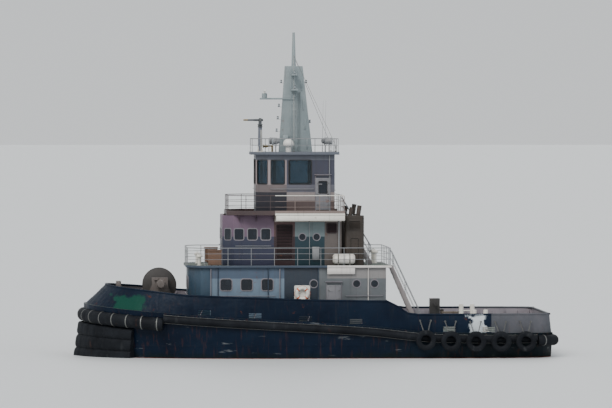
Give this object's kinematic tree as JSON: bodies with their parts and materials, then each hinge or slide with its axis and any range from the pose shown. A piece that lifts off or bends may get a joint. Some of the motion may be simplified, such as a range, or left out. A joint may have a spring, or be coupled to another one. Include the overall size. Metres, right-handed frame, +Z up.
{
  "type": "harbour tugboat",
  "caption": "Harbour tug afloat: decked hull with rubber fenders, stepped blue-grey house, steerable stern thrusters, bow winch and towing hook.",
  "frame": {"origin": "on the centreline, amidships between the ends of the fenders, at the waterline", "axes": "+X towards the bow, +Y to port, +Z up"},
  "size_m": [27.0728, 11.1274, 22.8803],
  "materials": {
    "hull_paint": "navy black hull enamel, satin",
    "fender_rubber": "black fender rubber, matte",
    "house_paint": "blue-grey enamel, satin",
    "upper_house_paint": "slate enamel, satin, with maroon, teal and beige fields",
    "wheelhouse_paint": "pale grey enamel, satin, over a maroon band",
    "trim_paint": "white enamel, satin",
    "raft_shell": "white moulded shell",
    "window_glass": "tinted glass",
    "mast_paint": "pale grey enamel",
    "scanner_shell": "white moulded housing",
    "propeller_bronze": "cast bronze, polished by water",
    "deck_steel": "dark grey deck machinery paint",
    "winch_line": "green fibre rope",
    "helm_trim": "dark console trim"
  },
  "bodies": {
    "root": {"hull": "hull_paint", "bulwark_bow": "hull_paint", "bulwark_port": "hull_paint", "bulwark_stbd": "hull_paint", "bulwark_stern": "hull_paint", "bow_fender": "fender_rubber", "bow_apron": "fender_rubber", "side_fender_port": "fender_rubber", "side_fender_stbd": "fender_rubber", "stern_fender": "fender_rubber", "deckhouse_front": "house_paint", "deckhouse_port": "house_paint", "deckhouse_stbd": "house_paint", "deckhouse_aft": "house_paint", "boat_deck": "trim_paint", "upper_house_front": "upper_house_paint", "upper_house_port": "upper_house_paint", "upper_house_stbd": "upper_house_paint", "upper_house_aft": "upper_house_paint", "bridge_deck": "trim_paint", "wheelhouse_front": "wheelhouse_paint", "wheelhouse_port": "wheelhouse_paint", "wheelhouse_stbd": "wheelhouse_paint", "wheelhouse_aft": "wheelhouse_paint", "wheelhouse_glass_fore": "window_glass", "wheelhouse_glass_aft": "window_glass", "wheelhouse_roof": "trim_paint", "helm_console": "helm_trim", "helm_chair": "helm_trim", "mast": "mast_paint", "funnel_port": "hull_paint", "funnel_stbd": "hull_paint", "liferaft_port": "raft_shell", "liferaft_stbd": "raft_shell", "stair_bridge": "trim_paint", "stair_main": "trim_paint", "winch_frame": "deck_steel", "bow_staple": "deck_steel", "tow_post": "hull_paint", "bollard_aft_port": "trim_paint", "bollard_aft_stbd": "trim_paint", "bollard_fore_port": "hull_paint", "bollard_fore_stbd": "hull_paint"},
    "thruster_port": {"thruster_port": "hull_paint"},
    "propeller_port": {"propeller_port": "propeller_bronze"},
    "thruster_stbd": {"thruster_stbd": "hull_paint"},
    "propeller_stbd": {"propeller_stbd": "propeller_bronze"},
    "door_deckhouse_port": {"door_deckhouse_port": "trim_paint"},
    "door_deckhouse_stbd": {"door_deckhouse_stbd": "trim_paint"},
    "door_wheelhouse_port": {"door_wheelhouse_port": "trim_paint"},
    "door_wheelhouse_stbd": {"door_wheelhouse_stbd": "trim_paint"},
    "winch_drum": {"winch_drum": "deck_steel", "winch_rope": "winch_line"},
    "monitor_swivel": {"monitor_swivel": "deck_steel"},
    "monitor_barrel": {"monitor_barrel": "deck_steel"},
    "radar_scanner": {"radar_scanner": "scanner_shell"},
    "tow_hook": {"tow_hook": "deck_steel"}
  },
  "joints": [
    {"name": "thruster_port_steer", "type": "hinge", "parent": "root", "child": "thruster_port", "pos_m": [-10.3, 2.45, -2.1503], "axis": [0, 0, 1], "continuous": true},
    {"name": "propeller_port_spin", "type": "hinge", "parent": "thruster_port", "child": "propeller_port", "pos_m": [-11, 2.45, -3.4503], "axis": [1, 0, 0], "continuous": true},
    {"name": "thruster_stbd_steer", "type": "hinge", "parent": "root", "child": "thruster_stbd", "pos_m": [-10.3, -2.45, -2.1503], "axis": [0, 0, 1], "continuous": true},
    {"name": "propeller_stbd_spin", "type": "hinge", "parent": "thruster_stbd", "child": "propeller_stbd", "pos_m": [-11, -2.45, -3.4503], "axis": [1, 0, 0], "continuous": true},
    {"name": "deckhouse_door_port", "type": "hinge", "parent": "root", "child": "door_deckhouse_port", "pos_m": [-0.9, 3.236, 3], "axis": [0, 0, -1], "range_deg": [0, 120]},
    {"name": "deckhouse_door_stbd", "type": "hinge", "parent": "root", "child": "door_deckhouse_stbd", "pos_m": [-0.9, -3.236, 3], "axis": [0, 0, 1], "range_deg": [0, 120]},
    {"name": "wheelhouse_door_port", "type": "hinge", "parent": "root", "child": "door_wheelhouse_port", "pos_m": [-0.35, 2.036, 9], "axis": [0, 0, -1], "range_deg": [0, 120]},
    {"name": "wheelhouse_door_stbd", "type": "hinge", "parent": "root", "child": "door_wheelhouse_stbd", "pos_m": [-0.35, -2.036, 9], "axis": [0, 0, 1], "range_deg": [0, 120]},
    {"name": "winch_drum_turn", "type": "hinge", "parent": "root", "child": "winch_drum", "pos_m": [8.4, 0, 3.95], "axis": [0, 1, 0], "continuous": true},
    {"name": "monitor_turn", "type": "hinge", "parent": "root", "child": "monitor_swivel", "pos_m": [2.7, 0, 12.8503], "axis": [0, 0, 1], "range_deg": [-170, 170]},
    {"name": "monitor_tilt", "type": "hinge", "parent": "monitor_swivel", "child": "monitor_barrel", "pos_m": [2.7, 0, 13.2503], "axis": [0, -1, 0], "range_deg": [-15, 75]},
    {"name": "radar_turn", "type": "hinge", "parent": "root", "child": "radar_scanner", "pos_m": [2.45, 0, 14.7603], "axis": [0, 0, 1], "continuous": true},
    {"name": "tow_hook_swing", "type": "hinge", "parent": "root", "child": "tow_hook", "pos_m": [-7.62, 0, 2.35], "axis": [0, 0, 1], "range_deg": [-90, 90]}
  ]
}
